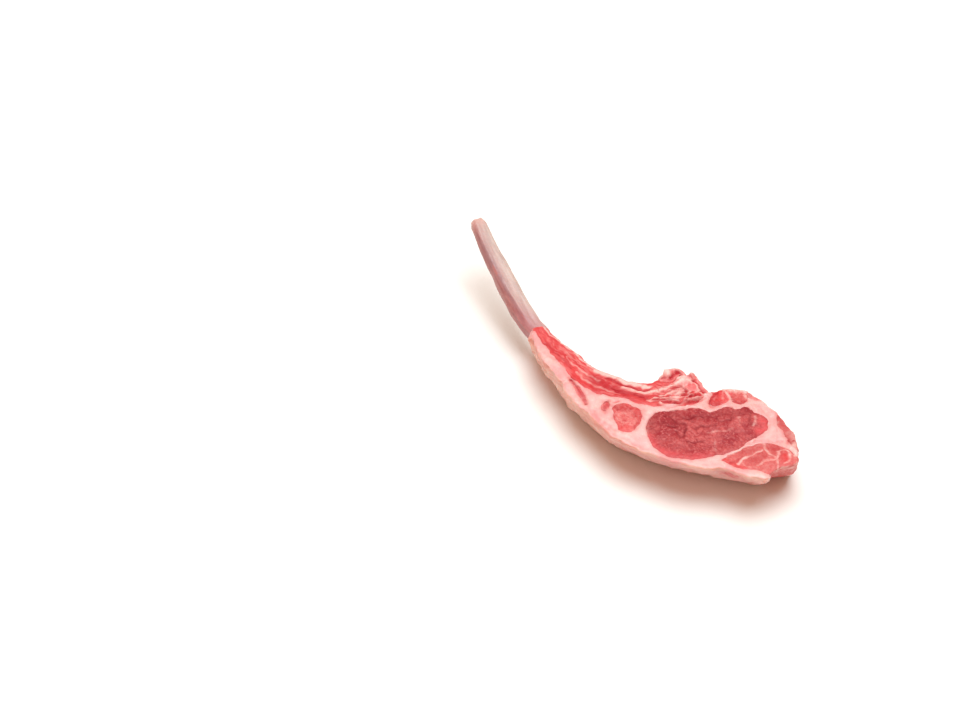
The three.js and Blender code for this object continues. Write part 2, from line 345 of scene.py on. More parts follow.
# %% Smooth lines through a few points
def smooth_line(points, steps):
    """A Catmull-Rom line through points in mm, as an array of places."""
    knots = np.array(points, float)
    knots = np.vstack([2 * knots[0] - knots[1], knots, 2 * knots[-1] - knots[-2]])
    t = np.linspace(0, 1, steps, endpoint=False)[:, None]
    stretches = []
    for a, b, c, d in zip(knots, knots[1:], knots[2:], knots[3:]):
        bend = 2 * b + (c - a) * t + (2 * a - 5 * b + 4 * c - d) * t**2
        stretches.append((bend + (3 * b - a - 3 * c + d) * t**3) / 2)
    return np.vstack(stretches + [knots[-2:-1]])


def nearest_on_line(places, line):
    """For places in the plan: how far along a line, and how far to its left."""
    best = np.full(len(places), np.inf)
    along, left = np.zeros(len(places)), np.zeros(len(places))
    before = 0.0
    for start, end in zip(line, line[1:]):
        run = end - start
        length = np.linalg.norm(run)
        offset = places - start
        share = np.clip(offset @ run / length**2, 0, 1)
        distance = np.linalg.norm(offset - share[:, None] * run, axis=1)
        side = np.where(run[0] * offset[:, 1] > run[1] * offset[:, 0], 1, -1)
        nearer = distance < best
        best = np.where(nearer, distance, best)
        along = np.where(nearer, before + share * length, along)
        left = np.where(nearer, side * distance, left)
        before += length
    return along, left


# %% Along the rib, round the back, and on the cut face
SLICE = 18  # mm, how thick the chop is
DEPTH_SHIFT = np.array([-6.4, 6.4])  # mm, what the full depth of the slice adds to a place
RIB_MIDDLE = smooth_line(
    [(-28, -6), (-18, -8.6), (-7, -10.8), (3, -11.6), (11, -10), (18, -6), (25, -1), (32, 5), (38, 11)],
    4,
)
BACK_CENTRE = np.array([20.5, 40.5])  # the fat side is nearly an arc round this point
BACK_RADIUS = 68.6


def on_cut_face(points):
    """The place on the upper face that each point takes its marks from."""
    depth = 1 - np.clip(points[:, 2], 0, SLICE) / SLICE
    return points[:, :2] + DEPTH_SHIFT * depth[:, None]


def round_the_back(points):
    """Along the fat side and in from it, both in mm."""
    spoke = on_cut_face(points) - BACK_CENTRE
    angle = np.arctan2(spoke[:, 0], -spoke[:, 1])
    return angle * BACK_RADIUS, BACK_RADIUS - np.linalg.norm(spoke, axis=1)


# %% [markdown]
# ## Lines drawn on the cut face
# Some lines on the cut are particular to this chop: the two pale membranes along the far side
# of the rib meat, the seams between its layers, the shreds where it was torn from the backbone,
# the cracks in the big round muscle and the creases and folds in the fat, which are painted
# darker as shade, the creases with a thin red line too. Each is a short curve with a style that
# says how wide it is, whether it stands up or sinks in, and how pale or dark it is.
# A little noise makes them waver, and each piece takes whatever lines cross it.

# %% Styles and lines
def line_style(width, height, **tones):
    """Width and height in mm, and how strong each tone is."""
    return {"width": width, "height": height, **tones}


MEMBRANE = line_style(1.0, 0.25, pale=1.0)
RIM_SKIN = line_style(0.7, 0.08, pale=0.8)
SEAM = line_style(0.6, -0.05, pale=0.6)
FAINT_SEAM = line_style(0.65, -0.05, pale=0.42)
SHRED = line_style(0.62, 0.7, pale=0.85)
THIN_SHRED = line_style(0.36, 0.45, pale=1.0)
LOBE_SEAM = line_style(0.5, -0.05, pale=0.85)
STREAK = line_style(0.8, -0.3, dark=1.0)
CRACK = line_style(0.58, -0.25, dark=1.15)
FAINT_CRACK = line_style(0.5, -0.15, dark=0.8)
VALLEY = line_style(0.9, -0.45, dark=0.9)
BRUISE = line_style(2.0, -0.1, dark=0.55)
# creases and folds sink and are painted darker as shade; the creases also hold a thin red line
SHADED_CREASE = line_style(0.6, -0.3, dark=0.4)
SHADED_FOLD = line_style(1.1, -0.3, dark=0.15)
FLECK = line_style(0.6, -0.1, dark=0.6)
HAZE = line_style(2.0, 0.0, pale=0.38)
FRESH = line_style(1.7, 0.0, fresh=0.9)
LUMP = line_style(1.4, 0.5, pale=0.85)
BALL = line_style(1.8, 1.2, pale=1.4)
PEAK = line_style(0.9, 1.6, pale=0.5)
PIT = line_style(0.9, -0.8, dark=1.4)
EDGE_SKIN = line_style(0.45, 0.05, pale=0.95)
LINING_EDGE = line_style(0.95, 0.12, pale=1.25)

DRAWING = [
    # far side of the rib meat: a pale membrane inside its rim, and a thin red line between
    (EDGE_SKIN, (-25.5, -5), (-20.4, -5.8), (-12.3, -6.2), (-3.7, -7.2), (2, -7.8)),
    (LINING_EDGE, (3, -7.9), (7.4, -6.6), (13.3, -4.4), (16, -3), (18.3, -1.6), (20.6, 0.2)),
    (CRACK, (7.9, -8), (14.3, -5.7), (16.2, -4.7), (20.1, -3.3), (21.9, -1.2)),
    (FAINT_SEAM, (-14, -8), (-5, -9), (4, -8.8)),
    (FAINT_SEAM, (8.2, -8.8), (12.3, -7.6), (14.8, -6.8)),
    (MEMBRANE, (15.4, -6.5), (17, -6), (22.8, -2.3), (26, 3.7), (27.5, 9), (28, 11.5)),
    # seams between its layers
    (SEAM, (-1.5, -12.9), (2.9, -13.3), (7.4, -13), (11.5, -12), (16.4, -10.2)),
    (SEAM, (-9, -10), (-5.8, -11.3), (-1.5, -11.4), (3.2, -10.9), (6.8, -10.4)),
    (BRUISE, (4, -11.5), (9.3, -11.2), (13.4, -10.2), (18.5, -8)),
    (VALLEY, (13.5, -9.6), (18.6, -7.6), (24, -4.8)),
    (FLECK, (-19.5, -10), (-14, -11), (-9.5, -12), (-4.5, -13.2)),
    (FRESH, (-4.5, -13.4), (0, -14), (6, -15.4)),
    # shreds and valleys where it was torn from the backbone
    (THIN_SHRED, (24.7, -5.5), (26.8, -2.5), (30.3, 0.9), (31.2, 3), (31.4, 6)),
    (SHRED, (29, -3.7), (32.7, -2.3), (34.7, 1.5), (34.5, 3.4)),
    (LUMP, (28.6, 3), (29.7, 4.5), (29.4, 7.5)),
    (SHRED, (30.6, 8.2), (32.2, 7.6), (32.6, 6.5), (34.6, 7)),
    (SHRED, (35.2, 2.4), (35.6, 5), (36.4, 8.3), (37.6, 11)),
    (THIN_SHRED, (30, 0.2), (32, 2.6), (33.8, 5.2), (34.2, 7.4)),
    (THIN_SHRED, (25.6, -5.5), (28, -3.1), (30.1, -0.6), (32.8, 1.7)),
    (THIN_SHRED, (35.4, 3.4), (36.3, 5.6), (37, 7.6), (38.2, 9.5)),
    (THIN_SHRED, (30.2, 2.6), (30.7, 4.8), (30.5, 6.7)),
    (THIN_SHRED, (26.8, -0.8), (28.3, 1.5), (29.1, 3.2)),
    (THIN_SHRED, (34.4, 8.5), (34.6, 10.4), (35, 11.6)),
    (CRACK, (27.5, -3.6), (30.1, -1.9), (31.1, -0.4)),
    (CRACK, (31.5, -0.9), (33.8, 0.5), (35.2, 3)),
    (CRACK, (36.8, 4.8), (37.6, 6.9), (38.3, 9.4)),
    (BRUISE, (32.5, -3.3), (34.3, -2), (35.1, -0.3)),
    (SEAM, (28.3, -7.1), (32.7, -4.9), (37.7, 0.1)),
    (THIN_SHRED, (34, -3.6), (35.9, 0.5), (36.6, 2)),
    (FAINT_SEAM, (23, 1.5), (25, 3.9), (26, 6.7)),
    (VALLEY, (27, -4.2), (28.7, -2.4), (30.6, -0.5)),
    (CRACK, (28.1, 4.4), (28.4, 6), (28.8, 7.6)),
    (VALLEY, (30.3, 8), (31.4, 7), (32.4, 4.5)),
    (VALLEY, (32.5, 0), (35.8, 2.9), (37, 7), (37.8, 9.3)),
    (CRACK, (34.4, 5.9), (35.5, 8.7)),
    (FRESH, (31.5, 11), (33.5, 10.5)),
    (THIN_SHRED, (31.1, 11.7), (33.8, 11.3), (36.2, 10.2)),
    (CRACK, (33.4, 12), (36.7, 11.4)),
    (CRACK, (30.2, 12.6), (32.4, 12.2)),
    # the lumps by the backbone: a pale ball with pits beside it, a pale lump and a peak
    (BALL, (20.3, 8.8), (20.9, 8.2)),
    (RIM_SKIN, (20, 9.5), (21.1, 11.3), (22.5, 12.8), (23.7, 13.1)),
    (PIT, (23.2, 7.8), (23.4, 10), (23.4, 12.2)),
    (CRACK, (21.4, 6), (22, 6.8)),
    (LUMP, (26.2, 9.9), (27.5, 11.2), (29.6, 11.6)),
    (PEAK, (28.4, 14.4), (29.3, 13.6)),
    # dark folds, small lobes and marbling in the big round muscle
    (BRUISE, (32, -9.9), (33.6, -13.2), (35.5, -14.6)),
    (BRUISE, (35, -5), (40.4, -3.3), (43, 1), (45, 4)),
    (BRUISE, (36, -10.4), (40.5, -7.5)),
    (BRUISE, (46, 6), (50.5, 10), (53.5, 15)),
    (CRACK, (38.2, -10.4), (40.5, -9.6), (40.8, -7), (42, -5.8), (44.2, -7.4), (45.7, -9.8)),
    (CRACK, (40, -4), (42, -2), (42.4, 0.7), (44, 1.8)),
    (CRACK, (34.3, -7.4), (36.7, -6.5), (39.8, -7.6)),
    (FAINT_CRACK, (42.2, -10.6), (44.7, -11.4), (46, -10.1)),
    (FAINT_CRACK, (45.8, -5), (46.4, -2.5), (48, -1), (49.5, 2)),
    (FAINT_CRACK, (50, -12.2), (48, -11.1), (49.6, -9.5), (51.4, -7)),
    (FAINT_CRACK, (45, 3.5), (47.6, 4.4), (50, 4.2), (52, 6.5)),
    (FAINT_CRACK, (49.2, 11.2), (51, 9), (52.4, 6.7)),
    (FAINT_CRACK, (54.2, 14.7), (56, 12), (58.6, 10)),
    (FAINT_SEAM, (53, 10), (54.2, 8.7), (55.6, 7.4)),
    (SEAM, (56.6, 14), (58.4, 12), (59.2, 10.5)),
    (FAINT_SEAM, (50, -2.7), (51.7, 0.1), (53.7, 1.9), (55.2, 4.4)),
    (FAINT_SEAM, (54, -4), (56.3, -7)),
    (FRESH, (36.5, -18.2), (43.8, -20.3), (49, -19.2), (53, -16.3), (57, -10.5)),
    (FRESH, (60, 14.5), (62.4, 12.6), (62, 10)),
    # pale seams between the lobes of the muscle at the back, with one round lobe
    (LOBE_SEAM, (66.2, 6.6), (68.6, 4.9), (70.6, 4.7), (74.2, 3.9), (77.7, 1.5)),
    (LOBE_SEAM, (66.7, -6.9), (66.8, -3.5), (67.7, 0.3), (68.4, 3.7)),
    (SEAM, (71.2, -2.8), (72.1, 1), (74.2, 3.9)),
    (LOBE_SEAM, (74, 4.4), (73.1, 6.5), (72.4, 8), (73.6, 9.5), (75.8, 9.2), (77.8, 6.7), (77.7, 4.4)),
    (BRUISE, (65.1, -0.8), (65.8, 1.4), (67, 4.1)),
    (BRUISE, (69, -1.3), (69.9, 1.8)),
    (BRUISE, (68.8, 6.3), (71.1, 8)),
    (FAINT_CRACK, (65, -9), (65.7, -4.6)),
    (FAINT_SEAM, (66.5, -4.3), (68.3, -5.7), (70.2, -5.1)),
    (FAINT_SEAM, (68.4, 7.1), (70.5, 5.5), (71.7, 3.4)),
    (SEAM, (61.2, -7.6), (62.1, -3.8), (63.3, 0.8), (64, 3.6), (65.6, 6.2)),
    (HAZE, (64.6, 0), (66.6, 4)),
    (FRESH, (75.6, 7), (77.2, 5.4)),
    (FRESH, (63, -9), (66.2, -8.2), (69, -7)),
    # the muscles along the far rim, and the skin outside them
    (MEMBRANE, (41.2, 16.2), (43, 17.6), (45.6, 20.6)),
    (RIM_SKIN, (42.2, 15.8), (44.2, 15.2), (46, 14.2)),
    (RIM_SKIN, (46, 20.5), (47.5, 19.8), (49.6, 19.2)),
    (FAINT_CRACK, (44.6, 15.8), (46.8, 14.8), (49, 15.3), (50, 17.6)),
    (CRACK, (39.4, 13.2), (40.6, 8.9), (42.1, 7.7), (43.7, 8.2)),
    (BRUISE, (41.4, 7.6), (43.2, 8.7)),
    (FAINT_CRACK, (39.9, 14.5), (41.3, 12), (42.3, 9.9)),
    (FAINT_SEAM, (41.7, 15.2), (43.3, 12.4)),
    (FRESH, (40.8, 13.6), (42.4, 11.6)),
    (BRUISE, (61.5, 20.4), (66.4, 18), (70.4, 16), (72.8, 14.4)),
    (SEAM, (63.4, 18.4), (66.2, 15.9), (68.6, 14.1), (71.6, 13.1)),
    (LUMP, (69.6, 17.1), (72.9, 15.2), (74.7, 12.5)),
    (RIM_SKIN, (74.7, 12.5), (77.9, 9.7)),
    (CRACK, (71.2, 14.4), (72.4, 12.8), (73.4, 13.2), (72.9, 14.8)),
    (FLECK, (60.6, 20.6), (64, 19), (66.6, 17.6)),
    # the septum beside the big muscle, and creases and folds in the fat, painted darker as shade
    (HAZE, (29.3, -8.4), (31.2, -13.4), (36.4, -19.6), (43.0, -23.0)),
    (SHADED_CREASE, (15, -23.6), (23.4, -25.7), (32, -25), (40.4, -22.7)),
    (SHADED_CREASE, (11.2, -21.4), (18.9, -24.2), (27, -24.6)),
    (SHADED_CREASE, (-18.7, -13.4), (-15.5, -14), (-9.9, -13.9)),
    (SHADED_FOLD, (-15.3, -17.6), (-8.4, -17.9), (-2, -19.9), (5.6, -23)),
    (STREAK, (-1.1, -16.4), (3, -17.8), (6.4, -19.3), (10.8, -21.2)),
    (SHADED_CREASE, (61.9, 4.2), (62.5, 7.1), (64.1, 9.5)),
    (SHADED_CREASE, (63.3, 3.8), (66, 7.2), (68.6, 10.1), (69.8, 12.4)),
    (SHADED_CREASE, (61, 19.2), (64.5, 17.2), (66.2, 15.3)),
    (SHADED_CREASE, (62.8, 2.4), (65, 6.6), (66.8, 9.7), (69.6, 12.2)),
    (SHADED_FOLD, (53.6, 19.2), (58.6, 18.6), (62.4, 15.4)),
    (STREAK, (15.2, -16.8), (15.6, -15.6), (16.8, -15.1), (17.6, -14.1), (18.5, -13.1)),
    (STREAK, (17.3, -16.8), (18.3, -15.8), (19.9, -15.7), (21.1, -16.6)),
    (STREAK, (16.9, -17.7), (18.1, -19.5), (19, -20.5)),
    (FLECK, (23.8, -11.8), (25.6, -11.5), (26.2, -10.8)),
    (FLECK, (26.9, -11.2), (28, -10.6)),
    (FLECK, (29, -12.9), (30, -13.4)),
    (FLECK, (22.4, -19.4), (22.8, -20.8)),
    (FLECK, (17.1, -13.6), (17.3, -13), (17.9, -12.7)),
    (FAINT_SEAM, (23.7, -17.9), (23.5, -16.6), (24, -15.8), (25.9, -16.6)),
    (FAINT_SEAM, (25.8, -20), (27.6, -19.3), (27.5, -17.3)),
    (BRUISE, (20.4, -14.9), (22.3, -14.8), (23.5, -13.3)),
    (BRUISE, (27, -14.3), (27.6, -13.1), (28.2, -12.2)),
    (FAINT_CRACK, (28.9, -13.9), (30.1, -16.8), (31.1, -19.4)),
    (FRESH, (27.1, -22.8), (28.8, -22), (29.9, -20)),
    (SHADED_CREASE, (26.8, -26.3), (30.1, -26.6), (32.8, -26.7), (34.9, -26.1)),
    (HAZE, (19.6, -15), (22.4, -18), (26.4, -21)),
    (HAZE, (24, -14.6), (29, -18), (29.6, -20.4)),
]


# %% What the drawing does to a set of points
WAVER = 0.4  # mm, how far noise pushes a line aside
LINE_DEPTHS = (4, 7.5)  # mm from the middle of the slice: between these the lines fade in


def draw(points):
    """Height in mm, and how pale, dark and fresh the drawn lines make each point."""
    waver = np.stack([noise(points, 2.2, seed) for seed in (91, 92)], axis=1)
    face = on_cut_face(points) + WAVER * waver
    near_a_face = ramp(np.abs(points[:, 2] - SLICE / 2), *LINE_DEPTHS)
    patchy = 0.8 + 0.4 * noise(points, 1.6, 93)
    fields = {name: np.zeros(len(points)) for name in ("height", "pale", "dark", "fresh")}
    for style, *corners in DRAWING:
        line = smooth_line(corners, 6)
        reach = 3 * style["width"]
        close = np.all((face > line.min(0) - reach) & (face < line.max(0) + reach), axis=1)
        if not close.any():
            continue
        _, left = nearest_on_line(face[close], line)
        strength = np.exp(-((left / style["width"]) ** 2)) * (near_a_face * patchy)[close]
        fields["height"][close] += style["height"] * strength
        for tone in ("pale", "dark", "fresh"):
            fields[tone][close] = np.maximum(fields[tone][close], style.get(tone, 0) * strength)
    return fields


# %% [markdown]
# ## The skins
# Every piece of lean gets a skin, and so does the fat. How domed, how rough and how dusky each
# face of the lean gets is set here. Muscles that work little are duller and paler, and the
# pieces by the backbone were torn rather than cut, so they are rougher.

# %% Muscles and fat
MUSCLES = {
    # node: (dome in mm, roughness of the face in mm, duskiness)
    "eye_muscle": (0.45, 0.1, 0.0),
    "back_muscle": (0.2, 0.18, 0.75),
    "rim_muscle": (0.1, 0.3, 1.0),
    "upper_muscle_1": (0.3, 0.34, 0.1),
    "upper_muscle_2": (0.25, 0.2, 0.6),
    "upper_muscle_3": (0.1, 0.2, 0.8),
    "side_muscle": (0.2, 0.16, 0.35),
    "side_muscle_tip": (0.1, 0.2, 0.3),
    "tail_streak": (-0.1, 0.15, 0.3),
    "backbone_knob": (0.2, 0.3, 0.0),
    "backbone_flap": (0.1, 0.5, 0.0),
}
pieces = {node: fine_skin(loose_copy(node), node + "_flesh") for node in [*MUSCLES, "fat"]}

# %% [markdown]
# On the hollow side of the strip of rib meat the thin lining of the chest drapes over the bone.
# The strip and the part of the bone that lies in it are therefore wrapped in one skin, which is
# smoothed most where the bone is near. The bone itself runs on inside it.

# %% The strip and the bone in it
BONE_LINE = smooth_line(
    [
        (-79.1, 15.1, 22.3),
        (-69.5, 10.5, 20.5),
        (-52.2, 3.2, 17.0),
        (-37.2, -2.4, 13.7),
        (-25.2, -5.3, 11.8),
        (-10.1, -6.3, 10.6),
        (2.2, -6.4, 9.8),
        (12.2, -1.9, 9.2),
        (19.4, 4.7, 9.0),
    ],
    4,
)
LINING_START = -26.5  # mm, the x where the lining closes over the bone
LINING_THICKNESS = 0.7
LINING_HEM = 0.4  # the share of that thickness that is there from the start
LINING_RUN = 5  # mm, how far along the bone it takes to reach full thickness
STRIP_VOXEL = 0.33

inner_bone = loose_copy("rib_bone")
bpy.ops.object.mode_set(mode="EDIT")
bpy.ops.mesh.select_all(action="SELECT")
bpy.ops.mesh.bisect(
    plane_co=(LINING_START * MM, 0, 0), plane_no=(1, 0, 0), use_fill=True, clear_inner=True
)
bpy.ops.object.mode_set(mode="OBJECT")
points, normals = points_of(inner_bone), normals_of(inner_bone)
growing = ramp(points[:, 0], LINING_START, LINING_START + LINING_RUN)
lining = LINING_THICKNESS * (LINING_HEM + (1 - LINING_HEM) * growing)
set_points(inner_bone, points + normals * lining[:, None])

strip = loose_copy("rib_meat")
select_only(strip)
inner_bone.select_set(True)
bpy.ops.object.join()
strip = fine_skin(strip, "rib_meat_flesh", voxel=STRIP_VOXEL)
pieces["rib_meat"] = strip

# %% Lay the lining over the bone
PAST_BONE = (0.5, 2.5)  # mm to the hollow side of the bone's middle, where the lining begins
CUT_EDGE = (6.0, 8.0)  # mm from the middle of the slice, where it ends
DRAPE_ROUNDS = 28

points = points_of(strip)
_, off_bone = nearest_on_line(points[:, :2], BONE_LINE[:, :2])
lining = ramp(off_bone, *PAST_BONE) * (1 - ramp(np.abs(points[:, 2] - SLICE / 2), *CUT_EDGE))
by_bone = strip.vertex_groups.new(name="by_bone")
for index in np.flatnonzero(lining > 0.01).tolist():
    by_bone.add([index], float(lining[index]), "REPLACE")
apply_modifier(strip, "SMOOTH", factor=0.5, iterations=DRAPE_ROUNDS, vertex_group="by_bone")
strip.vertex_groups.clear()

# %% [markdown]
# ## Press the pieces together
# In life the muscles and the fat are grown together, so the little gaps between the solids are
# closed: where two walls face each other, both move out until the pieces press into each other.
# The lean moves most, a long way under the fat, so that it is the edge of the fat that rolls
# over the lean. The tail of the fat closes on the bone in the same way. Walls on the outside
# stay where they are.

# %% Press them together
BONE_VOXEL = 0.38
REACH = (0.9, 1.5)  # mm to the other piece: a nearer wall moves fully, a farther one stays
FACING = (0.15, 0.7)  # the same for how squarely it faces the other piece
EVEN_ROUNDS = 5
# mm, how far each wall moves
INTO_FAT = 1.1
INTO_LEAN = 0.45
FAT_LIP = 0.3
FAT_TO_BONE = 0.6


def everything_but(node, places):
    return np.vstack([rows for other, rows in places.items() if other != node])


def press(node, growth, targets):
    """Moves the walls of a piece that are near the targets level and outwards."""
    points, normals = points_of(pieces[node]), normals_of(pieces[node])
    places, distance = nearest_of(points, targets)
    facing = ((places - points) * normals)[:, :2].sum(axis=1) / (distance + 0.01)
    near = (1 - ramp(distance, *REACH)) * ramp(facing, *FACING)
    points[:, :2] += even_out(pieces[node], normals[:, :2] * (growth * near)[:, None], EVEN_ROUNDS)
    set_points(pieces[node], points)


bone = fine_skin(loose_copy("rib_bone"), "rib_bone_scraped", voxel=BONE_VOXEL)
before = {node: points_of(piece) for node, piece in pieces.items()}
all_lean = everything_but("fat", before)[::2]
for node in pieces:
    if node == "fat":
        press(node, FAT_LIP, all_lean)
        press(node, FAT_TO_BONE, points_of(bone))
    else:
        press(node, INTO_FAT, before["fat"])
        press(node, INTO_LEAN, everything_but("fat", {k: v for k, v in before.items() if k != node})[::2])
skin_points = {node: points_of(piece)[::3] for node, piece in pieces.items()}
lean_points = everything_but("fat", skin_points)


def face_and_wall(normals):
    """1 on the level faces, and 1 on the walls."""
    upright = np.abs(normals[:, 2])
    return ramp(upright, 0.55, 0.9), 1 - ramp(upright, 0.3, 0.75)


def rim_distance(points, normals):
    """How far the points of the faces are from the nearest wall."""
    is_wall = np.abs(normals[:, 2]) < 0.5
    distance = np.zeros(len(points))
    distance[~is_wall] = distance_to(points[~is_wall], points[is_wall])
    return distance


# %% [markdown]
# ## Shape the lean
# Each muscle was cut across its fibres, so its face shows the ends of small bundles and its
# walls show them side on. The face domes a little, because the cut flesh relaxes outwards, and
# drops at its edge to meet the fat.

# %% Muscles
RIM_DROP = 0.22  # mm, how far a face sinks at its edge
RIM_WIDTH = 1.5
DOME_WIDTH = 9  # mm in from its edge a muscle reaches its full height
FREE_WALL = (0.9, 2.0)  # mm from the next piece, where a wall starts to be an outer one

for seed, (node, (dome, roughness, dusk)) in enumerate(MUSCLES.items(), start=2):
    points, normals = points_of(pieces[node]), normals_of(pieces[node])
    face, wall = face_and_wall(normals)
    inside = rim_distance(points, normals)
    outer = wall * ramp(distance_to(points, everything_but(node, skin_points)), *FREE_WALL)
    tones = draw(points)
    fibres = points * (1, 1, 0.25) + 10 * seed
    lift = dome * ramp(inside, 0, DOME_WIDTH) - RIM_DROP * (1 - ramp(inside, 0, RIM_WIDTH))
    lift = face * (lift + tones.pop("height"))
    coarse, fine = rough_noise(fibres, 3.2, 10 * seed), rough_noise(fibres, 1.3, 10 * seed + 5)
    lift += roughness * (coarse + 0.7 * fine) * (0.5 + 0.5 * np.maximum(face, outer))
    lift += outer * 0.8 * rough_noise(points, 6.5, 300)
    set_points(pieces[node], sway(points) + normals * lift[:, None])
    rim = 1 - ramp(inside, 0, 2.2)
    duskiness = np.full(len(points), dusk)
    write_attributes(pieces[node], grain=fibres, wall=outer, rim=rim, dusk=duskiness, **tones)
print("muscles shaped:", len(MUSCLES))

# %% [markdown]
# The strip that runs along the rib is cut along its fibres, so it gets long low ridges.
# Towards the backbone it was torn, and there the layers stand up in ragged steps that fan out
# round a point on the hollow side. The tops of the steps are painted paler and their feet darker:
# partly the pale shreds and deep red of torn meat, partly painted highlight and painted shade.

# %% Strip of rib meat
TORN_CENTRE = np.array([31.5, 3.5])
TORN_RADII = (6.5, 11.5)  # mm, torn all over within the first, and cut clean past the second
FAN_CENTRE = np.array([23.0, 9.0])
LAYER_SPACING = 1.5  # mm
STEP_HEIGHT = 0.55  # mm

points, normals = points_of(strip), normals_of(strip)
face, wall = face_and_wall(normals)
inside = rim_distance(points, normals)
along, across = nearest_on_line(on_cut_face(points), RIB_MIDDLE)
fibres = np.stack([along / 4, across, points[:, 2]], axis=1)
tones = draw(points)
torn = 1 - ramp(np.linalg.norm(on_cut_face(points) - TORN_CENTRE, axis=1), *TORN_RADII)
layer = np.linalg.norm(on_cut_face(points) - FAN_CENTRE, axis=1) / LAYER_SPACING
layer = (layer + 0.9 * noise(points, 4.0, 61) + 0.25 * noise(points, 1.4, 62)) % 1
step = layer**0.6 * (1 - ramp(layer, 0.8, 1.0))
soft = 1 - lining
lift = face * (tones["height"] - RIM_DROP * (1 - ramp(inside, 0, RIM_WIDTH)))
lift += (1 - torn) * soft * (0.14 * rough_noise(fibres, 1.5, 63) + 0.1 * noise(points, 1.1, 64))
lift += torn * face * (STEP_HEIGHT * (step - 0.5) + 0.25 * rough_noise(points, 2.4, 65))
lift += wall * soft * 0.4 * rough_noise(points * (1, 1, 0.6), 5.0, 67)
lift += 0.12 * lining * rough_noise(fibres, 4.0, 66)
set_points(strip, sway(points) + normals * lift[:, None])
write_attributes(
    strip,
    grain=fibres,
    # torn steps: paler tops and darker feet, partly pale shreds and deep red, partly painted highlight
    # and painted shade
    pale=np.maximum(tones["pale"], torn * 0.3 * ramp(step, 0.75, 0.95)),
    dark=np.maximum(tones["dark"], torn * 0.6 * (1 - ramp(step, 0.1, 0.45))),
    fresh=tones["fresh"],
    wall=wall,
    rim=1 - ramp(inside, 0, 1.6),
    lining=lining * wall,
)
print("torn part:", round(100 * torn.mean()), "% of the strip")

# %% [markdown]
# ## Shape the fat
# Fat is soft: it rolls over at the edge of the cut, lies in low lumps, and shows the layers it
# grew in along the outer side. The tail end is the most ragged. Near the lean it takes on a
# blush, from the distance to the nearest muscle.

# %% Fat
SCAR_CENTRE = np.array([66.9, -9.8, 13.2])  # a patch where the trimming knife bared some red
SCAR_SIZE = np.array([4.6, 3.6, 3.2])
FREE_FAT = (0.9, 2.2)  # mm from the lean, where a wall of the fat starts to be an outer one
TAIL = (-8, 14)  # mm, the ragged tail end turns into even fat between these x
HOLLOW_SIDE = (18, 24)  # mm in from the fat side, where the wall of the hollow side begins
BLUSH_REACH = 0.9  # mm

fat = pieces["fat"]
points, normals = points_of(fat), normals_of(fat)
to_lean = distance_to(points, lean_points)
face, wall = face_and_wall(normals)
outer = wall * ramp(to_lean, *FREE_FAT)
round_back, in_from_back = round_the_back(points)
layers = np.stack([round_back / 6, in_from_back, points[:, 2]], axis=1)
tail = 1 - ramp(points[:, 0], *TAIL)
tones = draw(points)

lift = face * tones.pop("height") + 0.26 * rough_noise(points, 7.5, 71) + 0.1 * noise(points, 2.2, 72)
lift += (0.12 + 0.35 * tail) * noise(points, 3.4, 73) * (0.4 + outer)
lift += outer * (0.3 + 0.6 * tail) * rough_noise(points * (1, 1, 0.7), 5.0, 74)
lift += outer * 0.22 * noise(layers, 1.5, 75)
lift += face * 0.12 * np.exp(-((to_lean - 1.0) ** 2))
set_points(fat, sway(points) + normals * lift[:, None])
scar = np.exp(-(((points - SCAR_CENTRE) / SCAR_SIZE) ** 2).sum(axis=1) ** 2)
write_attributes(
    fat,
    grain=layers,
    wall=outer,
    tail=tail,
    hollow=wall * ramp(in_from_back, *HOLLOW_SIDE),
    blush=np.exp(-((to_lean / BLUSH_REACH) ** 2)),
    scar=0.8 * scar * ramp(noise(points, 1.5, 76), -0.7, 0.2),
    **tones,
)

# %% [markdown]
# ## Bone
# The rib is flat on top and rounder on the side towards the eye, with a ridge between the two
# that turns slowly along its length. It was scraped clean, which leaves long shallow scratches,
# and sawn off square at the tip. A little tissue is left round it where it enters the meat.
# Its own measures are along it and round it.

# %% Bone
# angles round the bone, in radians from its hollow side up over the top
FAR_RIDGE = 0.75
GROOVE = 1.45
NEAR_RIDGE = 2.0
RIDGE_TURN = 0.25  # how far the near ridge wanders to each side
RIDGE_HEIGHT = 0.34  # mm
COLLAR = 0.45  # mm, how much the tissue left on it thickens the bone

points, normals = points_of(bone), normals_of(bone)
along, left = nearest_on_line(points[:, :2], BONE_LINE[:, :2])
steps_along = np.linalg.norm(np.diff(BONE_LINE[:, :2], axis=0), axis=1)
line_height = np.interp(along, np.concatenate([[0], np.cumsum(steps_along)]), BONE_LINE[:, 2])
angle = np.arctan2(points[:, 2] - line_height, left)
round_bone = np.stack([along / 9, 3.2 * np.cos(angle), 3.2 * np.sin(angle)], axis=1)
ridge_angle = NEAR_RIDGE + RIDGE_TURN * np.sin(along / 13)
# the near side and the underside, which the finish paints darker as shade
near_side = ramp(angle, ridge_angle - 0.25, ridge_angle + 0.25) + ramp(-angle, 1.2, 1.9)
ridge = np.exp(-(((angle - ridge_angle) / 0.3) ** 2))
far_ridge = np.exp(-(((angle - FAR_RIDGE) / 0.35) ** 2))
groove = np.exp(-(((angle - GROOVE) / 0.4) ** 2))
shoulder = np.exp(-(((angle - ridge_angle + 0.35) / 0.55) ** 2))
lift = RIDGE_HEIGHT * (ridge + far_ridge) - 0.12 * groove
lift += 0.16 * noise(round_bone, 1.1, 81) + 0.28 * noise(points, 8, 82) + 0.05 * noise(points, 1.2, 83)
lift += (1 - ramp(along, 0.5, 3)) * 0.3 * rough_noise(points, 1.8, 84)
buried = ramp(points[:, 0], LINING_START, LINING_START + 6)
lift += COLLAR * ramp(points[:, 0], LINING_START - 5, LINING_START - 1)
